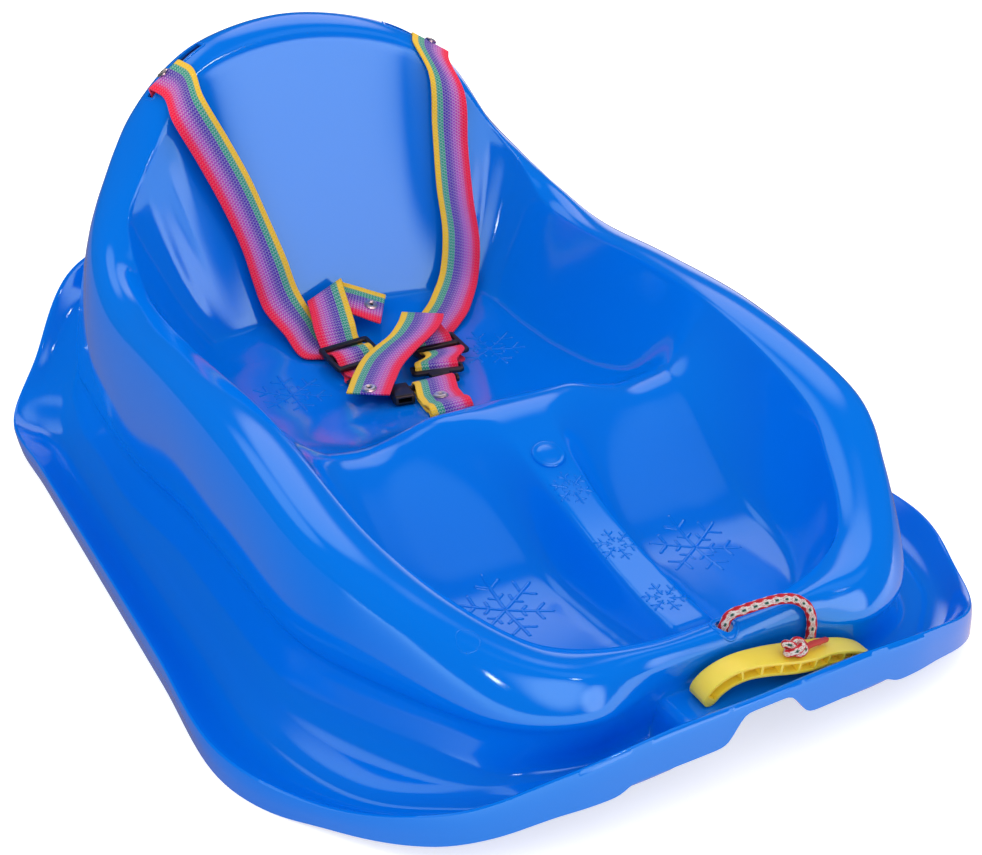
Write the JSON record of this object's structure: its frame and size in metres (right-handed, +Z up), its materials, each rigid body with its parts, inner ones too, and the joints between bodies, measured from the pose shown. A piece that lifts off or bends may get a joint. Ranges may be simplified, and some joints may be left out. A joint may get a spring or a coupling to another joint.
{
  "type": "child sled",
  "caption": "Moulded child sled with a bucket seat, high backrest, leg wells, webbing harness with buckle hardware, outer runner flange and a rope tow handle resting in a front recess.",
  "frame": {"origin": "on the ground under the middle of the sled's length and width", "axes": "+X towards the child's left, -Y is the front with the tow handle, +Z up; the sled is mirrored in X = 0"},
  "size_m": [0.4606, 0.6598, 0.301],
  "materials": {
    "blue_shell": "gloss",
    "webbing": "woven rainbow stripes",
    "black_hardware": "satin",
    "rivets": "polished",
    "yellow_handle": "satin",
    "rope": "braided"
  },
  "bodies": {
    "sled": {"hull": "blue_shell", "webbing_left": "webbing", "webbing_right": "webbing", "crotch_strap": "webbing", "rivet_slot_left": "rivets", "rivet_slot_right": "rivets", "rivet_tail_left": "rivets", "rivet_tail_right": "rivets", "rivet_crotch": "rivets", "tow_rope": "rope", "tow_rope_coil": "rope", "stopper_knot": "rope"},
    "slider_left": {"slider_left": "black_hardware"},
    "slider_right": {"slider_right": "black_hardware"},
    "tongue_left": {"tongue_left": "black_hardware"},
    "tongue_right": {"tongue_right": "black_hardware"},
    "buckle_socket": {"buckle_socket": "black_hardware"},
    "tow_handle": {"tow_handle": "yellow_handle", "handle_knot": "rope"}
  },
  "joints": [
    {"name": "slider_left_slide", "type": "slide", "parent": "sled", "child": "slider_left", "axis": [0.0999, -0.9644, -0.2448], "range_m": [-0.01, 0.002], "deforming": ["webbing_left"]},
    {"name": "slider_right_slide", "type": "slide", "parent": "sled", "child": "slider_right", "axis": [-0.0302, -0.991, -0.1308], "range_m": [-0.01, 0.002], "deforming": ["webbing_right"]},
    {"name": "tongue_left_hinge", "type": "hinge", "parent": "sled", "child": "tongue_left", "pos_m": [-0.022, 0.0685, 0.0774], "axis": [-0.9796, -0.2009, 0], "range_deg": [0, 20]},
    {"name": "tongue_right_hinge", "type": "hinge", "parent": "sled", "child": "tongue_right", "pos_m": [0.024, 0.059, 0.0766], "axis": [-0.96, 0.28, 0], "range_deg": [0, 60]},
    {"name": "buckle_socket_hinge", "type": "hinge", "parent": "sled", "child": "buckle_socket", "pos_m": [0.011, 0.037, 0.075], "axis": [-1, 0, 0], "range_deg": [0, 8], "deforming": ["crotch_strap"]},
    {"name": "tow_handle_lift", "type": "slide", "parent": "sled", "child": "tow_handle", "axis": [0.16, -0.07, 0.9846], "range_m": [0, 0.04], "deforming": ["tow_rope"]}
  ]
}
